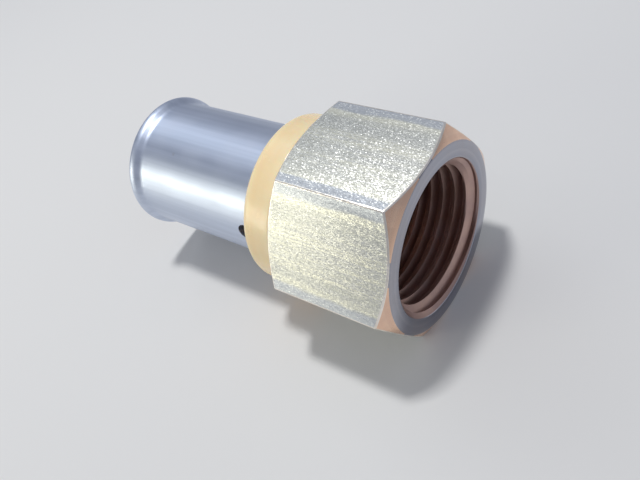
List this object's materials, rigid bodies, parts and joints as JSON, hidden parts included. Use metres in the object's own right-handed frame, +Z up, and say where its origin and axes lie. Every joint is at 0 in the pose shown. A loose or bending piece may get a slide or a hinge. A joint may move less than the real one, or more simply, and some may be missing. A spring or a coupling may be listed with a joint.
{
  "type": "press fitting",
  "caption": "Straight press fitting with a hexagonal female threaded head, plastic retaining ring and a stainless press sleeve over a barbed, sealed pipe stem.",
  "frame": {"origin": "centre of the threaded mouth's flat face, on the fitting's axis", "axes": "+X out of the threaded mouth along the fitting's axis, the pipe end towards -X, +Z up and square to two of the six wrench flats"},
  "size_m": [0.0485, 0.03, 0.026],
  "materials": {
    "plated_brass": "nickel-plated, blasted flats, turned ends",
    "stainless_steel": "smooth satin",
    "ring_plastic": "natural translucent nylon, semi-gloss",
    "seal_rubber": "matte black"
  },
  "bodies": {
    "body": {"fitting_body": "plated_brass", "inner_o_ring": "seal_rubber", "outer_o_ring": "seal_rubber"},
    "ring": {"retaining_ring": "ring_plastic"},
    "sleeve": {"press_sleeve": "stainless_steel"}
  },
  "joints": [
    {"name": "ring_turn", "type": "hinge", "parent": "body", "child": "ring", "pos_m": [-0.021, 0, 0], "axis": [1, 0, 0], "continuous": true},
    {"name": "sleeve_turn", "type": "hinge", "parent": "ring", "child": "sleeve", "pos_m": [-0.021, 0, 0], "axis": [1, 0, 0], "continuous": true}
  ]
}
